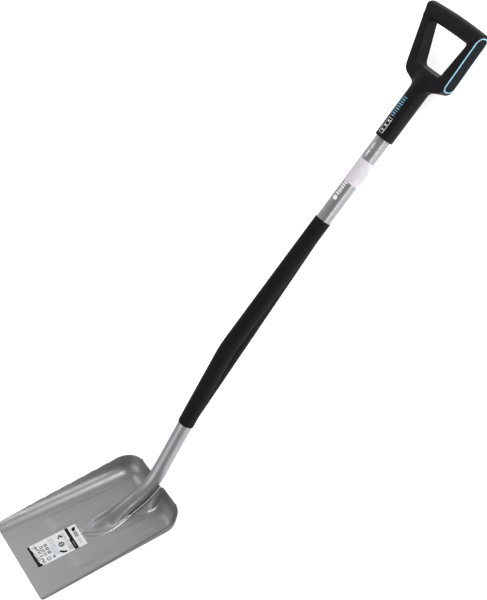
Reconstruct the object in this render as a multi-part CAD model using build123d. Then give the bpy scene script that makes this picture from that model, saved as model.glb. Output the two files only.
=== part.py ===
"""Long-handled garden spade with a pan blade, a cranked tube shaft and a D-grip.

The tool is drawn in its own frame and laid down at the end.  In the tool frame the blade's floor
is the plane z = 0, the cutting edge is y = 0, +Y runs to the rear of the blade and +X is across.
The laid frame rests the blade's heel and the grip's root on z = 0, with +Y along the tool.
"""
import os
from math import asin, atan2, cos, degrees, hypot, radians, sin, tan

from build123d import *

# ---- driving dimensions: blade ----
SHEET = 1.5                 # pressed steel sheet
BLADE_LENGTH = 316.0        # cutting edge to rear rim
BLADE_WIDTH_FRONT = 219.0   # across the rims at the cutting edge
BLADE_WIDTH_REAR = 215.0    # across the rims at the rear
RIM_FRONT = 12.2            # height of the rim at the cutting edge
RIM_REAR = 38.2             # height of the rim at the rear
WALL_ANGLE = 75.0           # side and rear walls above the fillet, from the floor
WALL_FILLET = 25.0          # inside radius between floor and walls
REAR_CORNER = 29.0          # plan radius of the rear corners, at floor level
FRONT_CORNER = 16.0         # plan radius of the two corners of the cutting edge

# ---- driving dimensions: pressed features of the blade ----
PRESS_DEPTH = 1.2           # height of the two side panels and the centre pad
PANEL_FRONT, PANEL_REAR = 95.0, 259.0
PANEL_INNER = (32.0, 37.5)  # half spacing of the inner lines, front and rear
PANEL_OUTER = (74.5, 67.5)  # half spacing of the outer lines, front and rear
PANEL_CORNER = 4.0
PAD_TIP, PAD_WIDEST, PAD_REAR = 135.2, 184.0, 236.0
PAD_HALF_WIDTH = 27.0       # leaf-shaped pad round the spear, at its widest
PAD_HALF_REAR = 17.5
SADDLE_HALF_WIDTH = 17.0    # raised saddle that carries the shaft over the rear wall
SADDLE_OVERRUN = 12.0       # drawn past the rear rim before the rim is cut

# ---- driving dimensions: shaft ----
TUBE_RADIUS = 15.0
TUBE_WALL = 1.2
BEND_RADIUS = 145.0         # lower bend, centreline
BEND_CENTRE = (202.0, 155.0)
LOWER_RISE = 54.4           # lower straight, degrees above the blade's floor
UPPER_RISE = 43.7           # upper straight
KINK_RADIUS = 200.0         # mid-shaft crank
LOWER_RUN = 298.5           # end of the lower bend to the crank
UPPER_RUN = 635.5           # crank to the root of the grip
TUBE_END = UPPER_RUN - 22.0
SPEAR_START = 237.0         # where the round tube begins to close into the spear
SPEAR_TIP = 138.5
SPEAR_WIDEST, SPEAR_HALF_WIDTH = 190.0, 19.0
SPEAR_HALF_WIDTHS = (15.0, 16.4, 18.4, 16.0, 6.0)   # even steps from the tube to the ridge's tip
RIDGE_TIP, RIDGE_TIP_RISE = 153.0, 2.2
SPEAR_OVERLAP = 2.0         # spear inside the tube
FLANGE_THICKNESS, FLANGE_MARGIN, FLANGE_HALF_REAR = 1.6, 1.5, 15.8

# ---- driving dimensions: welds ----
BEAD_RADIUS, BEAD_LIFT, BEAD_OFFSET = 1.5, 0.6, 1.9
SADDLE_WELD_ANGLES = (12.0, 42.0)       # along the lower bend
SADDLE_WELD_INNER, SADDLE_WELD_TOP, SADDLE_WELD_RISE = 6.0, 13.4, 8.0
SADDLE_WELD_EDGE = 0.3      # of the saddle's top left bare

# ---- driving dimensions: sleeve and grip ----
SLEEVE_RADIUS = 16.6
SLEEVE_LOW = 118.0          # from the end of the lower bend
SLEEVE_HIGH = 311.0         # from the crank
SLEEVE_LIP = 0.9
SOCKET_RADIUS = 18.8
SOCKET_LENGTH = 138.0
SOCKET_LIP = 2.0
SOCKET_INSET = 6.0          # the socket stops this far short of the root, inside the yoke
BORE_STOP = 20.0            # blind end of the bore, below the root
GRIP_RISE = 58.5            # plane of the D-loop
GRIP_THICKNESS = 32.0
BAR_RADIUS = 16.5
BAR_HEIGHT = 106.0          # root of the grip to the crossbar's axis
LOOP_HALF_TOP, LOOP_HALF_ROOT = 76.5, 53.0
LOOP_LOW = 10.0             # shoulders below the root of the grip
LOOP_ROUND, SHOULDER_ROUND, NECK_ROUND = 9.0, 11.0, 8.0
NECK_HALF, NECK_LOW = 24.0, 20.0        # where the shoulders meet the neck
TONGUE_HALF, TONGUE_LOW = 18.0, 38.0    # end of the flat neck inside the socket
EDGE_CHAMFER = 2.4
OPENING_HALF_TOP, OPENING_HALF_ROOT = 56.0, 36.0
OPENING_LOW, OPENING_ROUND = 12.0, 11.0
OPENING_NARROWING = 4.0     # of the opening's sides inside the bar
BAR_INSET = 10.0            # ends of the bar inside the arms
TRIM_LENGTH, TRIM_WIDTH, TRIM_CENTRE = 118.0, 26.4, 54.5
TRIM_BAND, TRIM_DEPTH, TRIM_PROUD, PANEL_PROUD = 2.5, 1.5, 0.5, 0.3

# ---- driving dimensions: labels and fastener ----
LABEL_WIDTH, LABEL_LENGTH, LABEL_START, LABEL_CORNER = 57.0, 106.5, 27.5, 1.5
FILM = 0.15                 # printed labels
TUBE_LABEL = (396.0, 448.0)     # from the crank
TUBE_LABEL_SWEEP = 190.0
SCREW_STATION = UPPER_RUN - 96.0
SCREW_HEAD_RADIUS, SCREW_HEAD_HEIGHT, SCREW_RADIUS = 4.2, 2.4, 2.0
SCREW_HEAD_ROUND, SCREW_GAP = 1.2, 0.6  # the head stands off the socket by the gap
SCREW_REACH, SCREW_HOLE_REACH = 4.0, 6.0    # past the tube's outside
SLOT_LENGTH, SLOT_WIDTH, SLOT_DEPTH = 4.6, 1.0, 2.0
CLEARANCE = 0.05
SAFE = 60.0                 # overshoot of cutting bodies

X_DIR = Vector(1, 0, 0)
RIM_SKIN = SHEET / sin(radians(WALL_ANGLE))     # the wall's thickness measured across the tool


def rise(angle):
    """Unit vector in the YZ plane, the given number of degrees above +Y."""
    return Vector(0, cos(radians(angle)), sin(radians(angle)))


def bend_point(radius, angle):
    """Point at that radius from the lower bend's centre, where the tube slopes at that angle."""
    y, z = BEND_CENTRE
    return Vector(0, y + radius * sin(radians(angle)), z - radius * cos(radians(angle)))


LOWER_DIR, UPPER_DIR, GRIP_DIR = rise(LOWER_RISE), rise(UPPER_RISE), rise(GRIP_RISE)
BEND_END = bend_point(BEND_RADIUS, LOWER_RISE)
KINK = BEND_END + LOWER_DIR * LOWER_RUN
ROOT = KINK + UPPER_DIR * UPPER_RUN
GRIP_PLANE = Plane(origin=ROOT, x_dir=X_DIR, z_dir=X_DIR.cross(GRIP_DIR))
SPEAR_ANGLE = degrees(asin((SPEAR_START - BEND_CENTRE[0]) / BEND_RADIUS))


def on_shaft(distance):
    """Plane across the upper straight, that far above the crank, with local Y towards the back."""
    return Plane(origin=KINK + UPPER_DIR * distance, x_dir=X_DIR, z_dir=UPPER_DIR)


# ---------------------------------------------------------------- blade

def tray(grow):
    """Solid tray: the blade's inside surface moved outwards by grow."""
    lean = radians(90 - WALL_ANGLE)
    step = grow * (1 / cos(lean) - tan(lean))
    knee = WALL_FILLET * tan(radians(WALL_ANGLE) / 2)
    front = front_floor_half() + knee + step
    rear = rear_floor_half() + knee + step
    back = floor_back() + knee + step
    slope = (front - rear) / back
    start = front + slope * SAFE
    corners = [(-start, -SAFE), (start, -SAFE), (rear, back), (-rear, back)]
    outline = make_face(Polyline(*corners, close=True))
    rear_corners = outline.vertices().sort_by(Axis.Y)[-2:]
    outline = fillet(rear_corners, REAR_CORNER + step)
    block = extrude(Pos(0, 0, -grow) * outline, RIM_REAR + SAFE / 2, taper=WALL_ANGLE - 90)
    floor_edges = block.edges().group_by(Axis.Z)[0]
    rounded = floor_edges.filter_by(lambda e: e.center().Y > -SAFE + 1)
    return fillet(rounded, WALL_FILLET + grow)


def wall_reach(height):
    """Horizontal distance from the floor's edge to the wall at a height."""
    top_of_fillet = WALL_FILLET * (1 - cos(radians(WALL_ANGLE)))
    if height < top_of_fillet:
        turn = 1 - height / WALL_FILLET
        return WALL_FILLET * (1 - turn * turn) ** 0.5
    return WALL_FILLET * sin(radians(WALL_ANGLE)) + (height - top_of_fillet) / tan(radians(WALL_ANGLE))


def front_floor_half():
    return BLADE_WIDTH_FRONT / 2 - RIM_SKIN - wall_reach(RIM_FRONT)


def rear_floor_half():
    return BLADE_WIDTH_REAR / 2 - RIM_SKIN - wall_reach(RIM_REAR)


def floor_back():
    return BLADE_LENGTH - RIM_SKIN - wall_reach(RIM_REAR)


def below_rim():
    """Everything under the slanting plane of the rim and inside the rounded cutting edge."""
    slope = (RIM_REAR - RIM_FRONT) / BLADE_LENGTH
    far, low = BLADE_LENGTH + SAFE, -SAFE
    profile = [(0, 0, low), (0, far, low), (0, far, RIM_FRONT + slope * far), (0, 0, RIM_FRONT)]
    wedge = extrude(make_face(Polyline(*profile, close=True)), 3 * SAFE, dir=X_DIR, both=True)
    half = BLADE_WIDTH_FRONT / 2
    corners = [(-half, 0), (half, 0), (half, far), (-half, far)]
    plan = make_face(Polyline(*corners, close=True))
    plan = fillet(plan.vertices().group_by(Axis.Y)[0], FRONT_CORNER)
    return wedge & extrude(Pos(0, 0, low) * plan, 3 * SAFE)


def saddle(grow):
    """Ramp under the shaft from the floor up to the rear rim; grow moves its surface inwards."""
    radius = BEND_RADIUS + TUBE_RADIUS + CLEARANCE + grow
    top_angle = degrees(asin((BLADE_LENGTH + SADDLE_OVERRUN - BEND_CENTRE[0]) / radius))
    top, low = bend_point(radius, top_angle), bend_point(radius, 0)
    middle = bend_point(radius, top_angle / 2)
    base = -SAFE / 5
    under_top, under_low = Vector(0, top.Y, base), Vector(0, low.Y, base)
    edges = [
        ThreePointArc(low, middle, top),
        Line(top, under_top),
        Line(under_top, under_low),
        Line(under_low, low),
    ]
    return extrude(make_face(edges), SADDLE_HALF_WIDTH - grow, dir=X_DIR, both=True)


def panel_outline(side, inset):
    """Outline of one pressed side panel; side is -1 or 1."""
    inner_front, inner_rear = (side * (x + inset) for x in PANEL_INNER)
    outer_front, outer_rear = (side * (x - inset) for x in PANEL_OUTER)
    front, rear = PANEL_FRONT + inset, PANEL_REAR - inset
    points = [(inner_front, front), (outer_front, front), (outer_rear, rear), (inner_rear, rear)]
    face = make_face(Polyline(*points, close=True))
    return fillet(face.vertices(), PANEL_CORNER)


def leaf(tip, widest, rear, half, rear_half):
    """Leaf-shaped outline with a pointed tip, cut square at the rear."""
    bow = (0.74 * half, tip + 0.36 * (widest - tip))
    waist = (half - 0.32 * (half - rear_half), widest + 0.55 * (rear - widest))
    edges = [
        ThreePointArc((0, tip), bow, (half, widest)),
        ThreePointArc((half, widest), waist, (rear_half, rear)),
        Line((rear_half, rear), (-rear_half, rear)),
        ThreePointArc((-rear_half, rear), (-waist[0], waist[1]), (-half, widest)),
        ThreePointArc((-half, widest), (-bow[0], bow[1]), (0, tip)),
    ]
    return make_face(edges)


def pad_outline(inset):
    """Outline of the pad under the spear."""
    half, rear_half = PAD_HALF_WIDTH - inset, PAD_HALF_REAR - inset
    return leaf(PAD_TIP + inset, PAD_WIDEST, PAD_REAR, half, rear_half)


def pressed(outline_of):
    """(metal added above the floor, metal taken from below it) for one pressed outline."""
    top = extrude(outline_of(0.0), PRESS_DEPTH)
    under = extrude(Pos(0, 0, -SHEET) * outline_of(SHEET), PRESS_DEPTH)
    return top, under


def make_blade():
    pan = tray(SHEET) - tray(0.0)
    shapes = [lambda inset, s=s: panel_outline(s, inset) for s in (-1, 1)] + [pad_outline]
    for outline_of in shapes:
        top, under = pressed(outline_of)
        pan = pan + top - under
    carried = saddle(0.0) & tray(SHEET)
    pan = pan + carried - saddle(SHEET)
    return pan & below_rim()


# ---------------------------------------------------------------- shaft

def shaft_path(start_angle, end_distance):
    """Centreline from a point of the lower bend to a distance above the crank."""
    start = bend_point(BEND_RADIUS, start_angle)
    middle = bend_point(BEND_RADIUS, (start_angle + LOWER_RISE) / 2)
    crank = FilletPolyline(BEND_END, KINK, KINK + UPPER_DIR * end_distance, radius=KINK_RADIUS)
    return Wire([*ThreePointArc(start, middle, BEND_END).edges(), *crank.edges()])


def ring(plane, outer, inner):
    face = make_face(plane * CenterArc((0, 0), outer, 0, 360))
    return face - make_face(plane * CenterArc((0, 0), inner, 0, 360)) if inner else face


def make_tube():
    start = bend_point(BEND_RADIUS, SPEAR_ANGLE)
    plane = Plane(origin=start, x_dir=X_DIR, z_dir=rise(SPEAR_ANGLE))
    path = shaft_path(SPEAR_ANGLE, TUBE_END)
    outer = sweep(ring(plane, TUBE_RADIUS, 0), path=path)
    inner = sweep(ring(plane, TUBE_RADIUS - TUBE_WALL, 0), path=path)
    return outer - inner


def spear_section(y, top, half, bottom):
    """Closed section of the spear at y: a rounded ridge of that height on a flat bottom."""
    middle = (top + bottom) / 2
    flank, shoulder, hip = 0.72 * half, top - 0.24 * (top - middle), bottom + 0.24 * (middle - bottom)
    points = [(half, middle), (flank, shoulder), (0, top), (-flank, shoulder), (-half, middle),
              (-flank, hip), (0, bottom), (flank, hip)]
    curve = Spline(*[(x, y, z) for x, z in points], periodic=True)
    return make_face(curve)


def make_spear():
    """Lower end of the tube, pressed from a full round to a pointed ridge."""
    start = bend_point(BEND_RADIUS, SPEAR_ANGLE)
    rear_top = start.Z + TUBE_RADIUS / cos(radians(SPEAR_ANGLE))
    rear_low = start.Z - TUBE_RADIUS / cos(radians(SPEAR_ANGLE))
    rear_y = SPEAR_START + SPEAR_OVERLAP
    tip_top = PRESS_DEPTH + RIDGE_TIP_RISE
    sections = []
    for k, half in enumerate(SPEAR_HALF_WIDTHS):
        t = k / (len(SPEAR_HALF_WIDTHS) - 1)
        y = rear_y - t * (rear_y - RIDGE_TIP)
        top = rear_top + t * (tip_top - rear_top)
        sections.append(spear_section(y, top, half, rear_low * (1 - t)))
    return loft(sections)


def make_flange():
    """Flat welding flange round the spear's point."""
    half = SPEAR_HALF_WIDTH + FLANGE_MARGIN
    outline = leaf(SPEAR_TIP, SPEAR_WIDEST, SPEAR_START, half, FLANGE_HALF_REAR)
    return extrude(Pos(0, 0, PRESS_DEPTH) * outline, FLANGE_THICKNESS)


def make_shaft(blade):
    bore = screw_hole()
    shaft = make_tube() + make_spear() + make_flange()
    lower = Pos(0, 0, -SAFE / 2 + PRESS_DEPTH) * Box(4 * SAFE, 8 * SAFE, SAFE)
    return largest(shaft - lower - saddle(0.0) - blade - bore)


# ---------------------------------------------------------------- welds

def make_weld(side, neighbours):
    """Bead along one edge of the spear and up the saddle beside the tube."""
    half = TUBE_RADIUS + BEAD_RADIUS
    widest = SPEAR_HALF_WIDTH + BEAD_OFFSET
    level = PRESS_DEPTH + BEAD_LIFT
    route = Spline(
        (side * 1.2, SPEAR_TIP + 0.5, level),
        (side * 15.0, SPEAR_TIP + 18.0, level),
        (side * widest, SPEAR_WIDEST, level),
        (side * (widest - 1.4), SPEAR_WIDEST + 26.0, level),
        (side * half, SPEAR_START + 6.0, level + BEAD_LIFT),
    )
    section = Plane(origin=route @ 0, z_dir=route % 0) * Circle(BEAD_RADIUS)
    weld = sweep(section, path=route) + saddle_weld(side)
    for other in neighbours:
        weld = weld - other
    return largest(weld)


def saddle_weld(side):
    """Wedge of weld metal between the tube and the saddle's top, following the lower bend."""
    foot = BEND_RADIUS + TUBE_RADIUS + CLEARANCE
    start, end = SADDLE_WELD_ANGLES
    outer, top = SADDLE_HALF_WIDTH - SADDLE_WELD_EDGE, foot - SADDLE_WELD_RISE
    points = [(side * SADDLE_WELD_INNER, foot), (side * outer, foot), (side * SADDLE_WELD_TOP, top)]
    corners = [Vector(x, 0, 0) + bend_point(r, start) for x, r in points]
    face = make_face(Polyline(*corners, close=True))
    pivot = Axis((0, *BEND_CENTRE), (1, 0, 0))
    return revolve(face, axis=pivot, revolution_arc=end - start)


def largest(shape):
    return shape.solids().sort_by(SortBy.VOLUME)[-1]


# ---------------------------------------------------------------- sleeve

def make_sleeve():
    """Soft sleeve over the crank, with rounded ends."""
    start = BEND_END + LOWER_DIR * SLEEVE_LOW
    path = FilletPolyline(start, KINK, KINK + UPPER_DIR * SLEEVE_HIGH, radius=KINK_RADIUS)
    plane = Plane(origin=start, x_dir=X_DIR, z_dir=LOWER_DIR)
    outer = sweep(ring(plane, SLEEVE_RADIUS, 0), path=path)
    inner = sweep(ring(plane, TUBE_RADIUS + CLEARANCE, 0), path=path)
    sleeve = outer - inner
    rims = sleeve.edges().filter_by(GeomType.CIRCLE).filter_by(is_outer_rim)
    return fillet(rims, SLEEVE_LIP)


def is_outer_rim(edge):
    low, high = BEND_END + LOWER_DIR * SLEEVE_LOW, KINK + UPPER_DIR * SLEEVE_HIGH
    near_end = min((edge.arc_center - low).length, (edge.arc_center - high).length) < 1.0
    return near_end and abs(edge.radius - SLEEVE_RADIUS) < 0.01


# ---------------------------------------------------------------- grip

def loop_outline():
    """Outside of the D-loop in the grip plane: X across, Y from the root towards the bar."""
    top, low = BAR_HEIGHT + BAR_RADIUS, -LOOP_LOW
    half = [(LOOP_HALF_TOP, top), (LOOP_HALF_ROOT, low), (NECK_HALF, -NECK_LOW), (TONGUE_HALF, -TONGUE_LOW)]
    radii = [LOOP_ROUND, SHOULDER_ROUND, NECK_ROUND, 0]
    points = [(-x, y) for x, y in half] + half[::-1]
    return make_face(FilletPolyline(*points, radius=radii + radii[::-1], close=True))


def loop_opening():
    """Gap between the arms, running on past the bar."""
    top, under_bar = BAR_HEIGHT + 2 * BAR_RADIUS, BAR_HEIGHT - BAR_RADIUS
    half, root, above = OPENING_HALF_TOP, OPENING_HALF_ROOT, OPENING_HALF_TOP - OPENING_NARROWING
    points = [
        (-above, top), (-half, under_bar), (-root, OPENING_LOW),
        (root, OPENING_LOW), (half, under_bar), (above, top),
    ]
    radii = [0, 0, OPENING_ROUND, OPENING_ROUND, 0, 0]
    return make_face(FilletPolyline(*points, radius=radii, close=True))


def make_loop():
    """Yoke and two arms, with softened edges."""
    yoke = extrude(loop_outline(), GRIP_THICKNESS / 2, both=True)
    yoke = yoke - extrude(loop_opening(), GRIP_THICKNESS, both=True)
    rims = yoke.edges().group_by(Axis.Z)
    outline = ShapeList(rims[0] + rims[-1])
    outside = outline.filter_by(lambda e: e.center().Y > -(NECK_LOW + TONGUE_LOW) / 2)
    softened = chamfer(outside, EDGE_CHAMFER)
    return softened & bar_envelope()


def bar_envelope():
    """Rounds the tops of the arms to the bar's own curve."""
    width, length = 4 * LOOP_HALF_TOP, 4 * SAFE
    below = Pos(0, BAR_HEIGHT - length / 2, 0) * Box(width, length, 2 * GRIP_THICKNESS)
    crown = Pos(0, BAR_HEIGHT, 0) * Rot(0, 90, 0) * Cylinder(BAR_RADIUS, width)
    return below + crown


def side_plane(side):
    """Plane on the outer face of one arm, local Y along the arm and local Z outwards."""
    run, out = BAR_HEIGHT + BAR_RADIUS + LOOP_LOW, LOOP_HALF_TOP - LOOP_HALF_ROOT
    length = hypot(run, out)
    share = (TRIM_CENTRE + LOOP_LOW) / run
    centre = (side * (LOOP_HALF_ROOT + share * out), TRIM_CENTRE, 0)
    outward = (side * run / length, -out / length, 0)
    return Plane(origin=centre, x_dir=(0, 0, 1), z_dir=outward)


def trim_face(side, grow):
    outline = RectangleRounded(TRIM_WIDTH + 2 * grow, TRIM_LENGTH + 2 * grow, TRIM_WIDTH / 2 - 1 + grow)
    return side_plane(side) * outline


def make_trim(side):
    """Coloured line let into the outer face of one arm and standing a little proud."""
    band = trim_face(side, 0.0) - trim_face(side, -TRIM_BAND)
    outward = side_plane(side).z_dir
    return extrude(band, TRIM_DEPTH, dir=-outward) + extrude(band, TRIM_PROUD, dir=outward)


def make_side_panel(side):
    """Soft pad inside the trim line."""
    face = trim_face(side, -TRIM_BAND)
    outward = side_plane(side).z_dir
    return extrude(face, TRIM_DEPTH, dir=-outward) + extrude(face, PANEL_PROUD, dir=outward)


def make_bar():
    return Pos(0, BAR_HEIGHT, 0) * Rot(0, 90, 0) * Cylinder(BAR_RADIUS, 2 * (LOOP_HALF_TOP - BAR_INSET))


def make_socket():
    """Round socket over the end of the tube, running up into the yoke."""
    foot = on_shaft(UPPER_RUN - SOCKET_LENGTH)
    body = extrude(foot * Circle(SOCKET_RADIUS), SOCKET_LENGTH - SOCKET_INSET)
    return fillet(body.edges().sort_by(Axis.Z)[0], SOCKET_LIP)


def grip_bore():
    """Blind bore for the tube."""
    foot = on_shaft(UPPER_RUN - SOCKET_LENGTH - BORE_STOP)
    return extrude(foot * Circle(TUBE_RADIUS + CLEARANCE), SOCKET_LENGTH)


def make_grip():
    loop = make_loop() + make_bar()
    for side in (-1, 1):
        outward = side_plane(side).z_dir
        loop = loop - extrude(trim_face(side, CLEARANCE), TRIM_DEPTH + CLEARANCE, dir=-outward)
    grip = GRIP_PLANE * loop + make_socket()
    return grip - grip_bore() - screw_hole()


# ---------------------------------------------------------------- fastener and labels

def screw_plane():
    """On the back of the socket, local Z outwards."""
    across = on_shaft(SCREW_STATION)
    outward = UPPER_DIR.cross(X_DIR)
    return Plane(origin=across.origin + outward * SOCKET_RADIUS, x_dir=X_DIR, z_dir=outward)


def screw_hole():
    depth = SOCKET_RADIUS - TUBE_RADIUS + SCREW_HOLE_REACH
    return extrude(screw_plane() * Circle(SCREW_RADIUS + CLEARANCE), depth, both=True)


def make_screw():
    """Pan-head screw that locks the grip to the tube."""
    depth = SOCKET_RADIUS - TUBE_RADIUS + SCREW_REACH
    head = Cylinder(SCREW_HEAD_RADIUS, SCREW_HEAD_HEIGHT, align=(Align.CENTER, Align.CENTER, Align.MIN))
    head = fillet(head.edges().sort_by(Axis.Z)[-1], SCREW_HEAD_ROUND)
    cross = Box(SLOT_LENGTH, SLOT_WIDTH, SLOT_DEPTH) + Box(SLOT_WIDTH, SLOT_LENGTH, SLOT_DEPTH)
    slot = Pos(0, 0, SCREW_HEAD_HEIGHT) * cross
    shank = Cylinder(SCREW_RADIUS, depth + SCREW_GAP, align=(Align.CENTER, Align.CENTER, Align.MAX))
    screw = Pos(0, 0, SCREW_GAP) * (head - slot + shank)
    return screw_plane().location * screw


def make_blade_label():
    outline = RectangleRounded(LABEL_WIDTH, LABEL_LENGTH, LABEL_CORNER)
    return extrude(Pos(0, LABEL_START + LABEL_LENGTH / 2, CLEARANCE) * outline, FILM)


def make_tube_label():
    """Label wrapped round the +X side of the upper tube."""
    low, high = TUBE_LABEL
    inner, outer = TUBE_RADIUS + CLEARANCE, TUBE_RADIUS + CLEARANCE + FILM
    half = TUBE_LABEL_SWEEP / 2
    edges = [
        CenterArc((0, 0), outer, -half, 2 * half),
        CenterArc((0, 0), inner, -half, 2 * half),
    ]
    ends = [Line(edges[0] @ t, edges[1] @ t) for t in (0, 1)]
    return extrude(on_shaft(low) * make_face([*edges, *ends]), high - low)


# ---------------------------------------------------------------- laying the tool down

def laid_location():
    """Turn and shift that rest the blade's heel and the grip's root on the ground."""
    heel = Vector(0, floor_back(), WALL_FILLET)
    heel_radius = WALL_FILLET + SHEET
    line = ROOT - heel
    tilt = degrees(atan2(line.Z, line.Y) + asin((heel_radius - SOCKET_RADIUS) / line.length))
    return Rot(-tilt, 0, 0)


def main():
    os.makedirs("parts", exist_ok=True)
    blade = make_blade()
    shaft = make_shaft(blade)
    nodes = {
        "blade": blade,
        "shaft_tube": shaft,
        "weld_left": make_weld(-1, (blade, shaft)),
        "weld_right": make_weld(1, (blade, shaft)),
        "shaft_sleeve": make_sleeve(),
        "grip_body": make_grip(),
        "grip_trim_left": GRIP_PLANE * make_trim(-1),
        "grip_trim_right": GRIP_PLANE * make_trim(1),
        "grip_side_panel_left": GRIP_PLANE * make_side_panel(-1),
        "grip_side_panel_right": GRIP_PLANE * make_side_panel(1),
        "grip_screw": make_screw(),
        "blade_label": make_blade_label(),
        "tube_label": make_tube_label(),
    }
    turned = {name: laid_location() * shape for name, shape in nodes.items()}
    boxes = [shape.bounding_box() for shape in turned.values()]
    low_y, high_y = min(b.min.Y for b in boxes), max(b.max.Y for b in boxes)
    shift = Pos(0, -(low_y + high_y) / 2, -min(b.min.Z for b in boxes))
    print("shift", shift.position, "length", high_y - low_y)
    for name, shape in turned.items():
        export_step(shift * shape, f"parts/{name}.step")


main()
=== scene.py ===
"""Looks of the long-handled garden spade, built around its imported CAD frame.

Shapes are worked out in the tool frame, in millimetres: the blade's floor is z = 0, the cutting edge
is y = 0, +Y runs to the rear of the blade and +X is across.  to_frame() lays them down in the row
frame, in metres.
"""
from itertools import product
from math import asin, atan2, cos, degrees, hypot, pi, radians, sin, tan

import bmesh
import bpy
import numpy as np
from mathutils import Matrix, Vector


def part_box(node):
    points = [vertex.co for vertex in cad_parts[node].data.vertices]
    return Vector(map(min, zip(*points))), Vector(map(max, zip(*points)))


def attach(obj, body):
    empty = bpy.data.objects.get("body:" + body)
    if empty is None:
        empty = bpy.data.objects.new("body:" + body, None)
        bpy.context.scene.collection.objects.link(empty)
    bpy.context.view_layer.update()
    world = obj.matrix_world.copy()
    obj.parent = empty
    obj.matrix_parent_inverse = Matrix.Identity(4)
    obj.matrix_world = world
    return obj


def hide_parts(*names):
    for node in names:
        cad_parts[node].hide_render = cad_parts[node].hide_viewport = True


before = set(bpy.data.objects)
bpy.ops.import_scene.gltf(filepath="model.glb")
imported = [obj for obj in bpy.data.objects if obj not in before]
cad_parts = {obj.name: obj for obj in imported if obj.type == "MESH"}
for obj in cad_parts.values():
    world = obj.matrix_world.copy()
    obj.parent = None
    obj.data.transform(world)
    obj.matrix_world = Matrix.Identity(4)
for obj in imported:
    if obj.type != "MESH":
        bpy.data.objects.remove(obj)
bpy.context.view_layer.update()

# ---- driving dimensions in millimetres and degrees, mostly the CAD model's ----
SHEET = 1.5
BLADE_LENGTH = 316.0
BLADE_WIDTH_FRONT, BLADE_WIDTH_REAR = 219.0, 215.0
RIM_FRONT, RIM_REAR = 12.18, 38.2     # the front is 0.02 under the CAD's, to stay in its box
WALL_ANGLE, WALL_FILLET = 75.0, 25.0
WALL_TILT = radians(WALL_ANGLE)
FLOOR_CORNER = 9.8          # plan radius of the floor's rear corners
FRONT_CORNER, CORNER_FADE = 16.0, 60.0     # the rounding dies away that far behind the edge
PRESS_DEPTH = 1.2
PANEL_RISE, PANEL_EDGE = 1.0, 2.8     # the side panels' edges are soft and shallow
PANEL_FADE = 0.12           # how fast a side panel rises from its front end
CREASE_AT, CREASE_RISE, CREASE_INNER, CREASE_OUTER = 290.5, 0.45, (40, 46), (64, 71)
PANEL_FRONT, PANEL_REAR = 95.0, 259.0
PANEL_INNER, PANEL_OUTER = (32.0, 37.5), (74.5, 67.5)
PAD_TIP, PAD_REAR, PAD_EDGE = 135.2, 236.0, 2.4
SADDLE_HALF_WIDTH, SADDLE_LIMIT = 17.0, 62.0
TUBE_RADIUS = 15.0
BEND_RADIUS, BEND_CENTRE = 145.0, (202.0, 155.0)
LOWER_RISE, UPPER_RISE, GRIP_RISE = 54.4, 43.7, 58.5
KINK_RADIUS, LOWER_RUN, UPPER_RUN = 200.0, 298.5, 635.5
TUBE_END = UPPER_RUN - 22.0
TUBE_LIFTS_OFF = 252.0      # the round tube lies on the pad up to here
SPEAR_START, SPEAR_TIP, RIDGE_TIP = 237.0, 138.5, 144.0
UNDERSIDE = 0.35            # lowest height of the spear and tube, inside the raised pad
LOW_BEAD, HIGH_BEAD = 1.0, 2.3          # radii of the beads round the flange and by the tube
SLEEVE_RADIUS, SLEEVE_LOW, SLEEVE_HIGH = 16.6, 118.0, 311.0
SOCKET_RADIUS, SOCKET_LENGTH = 18.8, 138.0
GRIP_THICKNESS, BAR_RADIUS, BAR_HEIGHT = 32.0, 16.5, 106.0
LOOP_HALF_TOP, LOOP_HALF_ROOT, LOOP_LOW = 76.5, 53.0, 10.0
OPENING_HALF_TOP, OPENING_HALF_ROOT, OPENING_LOW = 54.8, 33.5, 12.5
BAR_BOW = 2.6               # the bar's ends stand lower than its middle
TRIM_LENGTH, TRIM_WIDTH, TRIM_CENTRE, TRIM_BAND = 121.0, 29.0, 54.5, 2.3
TRIM_OFFSET = -1.2          # the line sits a little towards the back of the arm
LABEL_WIDTH, LABEL_LENGTH, LABEL_START = 57.0, 106.5, 27.5
FILM, CLEARANCE = 0.15, 0.05
TUBE_LABEL, TUBE_LABEL_SWEEP = (396.0, 448.0), 190.0
TUBE_LABEL_TURN, TUBE_MARK_TURN, SOCKET_MARK_TURN = 24.0, 82.0, 90.0    # round the shaft from +X
SOCKET_FRAME = (32.0, 10.6, 0.7)        # length, width and line of the frame on the socket
FRAME_START = UPPER_RUN - SOCKET_LENGTH + 8.0
RING = 72                   # points round the shaft

X_DIR = np.array([1.0, 0.0, 0.0])


# ---- the tool frame ----

def rise(angle):
    """Unit vector in the YZ plane, the given number of degrees above +Y."""
    return np.array([0.0, cos(radians(angle)), sin(radians(angle))])


def front_of(angle):
    """Unit vector square to rise(angle), towards the front of the tool."""
    return np.array([0.0, -sin(radians(angle)), cos(radians(angle))])


def bend_point(slope, radius):
    """Point that far from the bend's centre, where the shaft has the slope."""
    return np.array([0.0, *BEND_CENTRE]) - front_of(slope) * radius


def wall_height(reach):
    """Height of the blade's wall at that horizontal distance outside the floor's edge."""
    end = WALL_FILLET * sin(WALL_TILT)
    curved = WALL_FILLET - np.sqrt(WALL_FILLET ** 2 - np.clip(reach, 0, end) ** 2)
    return curved + np.maximum(reach - end, 0) * tan(WALL_TILT)


def wall_reach(height):
    """Horizontal distance from the floor's edge to the wall at a height."""
    top_of_fillet = WALL_FILLET * (1 - cos(WALL_TILT))
    if height < top_of_fillet:
        return (WALL_FILLET ** 2 - (WALL_FILLET - height) ** 2) ** 0.5
    return WALL_FILLET * sin(WALL_TILT) + (height - top_of_fillet) / tan(WALL_TILT)


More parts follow.
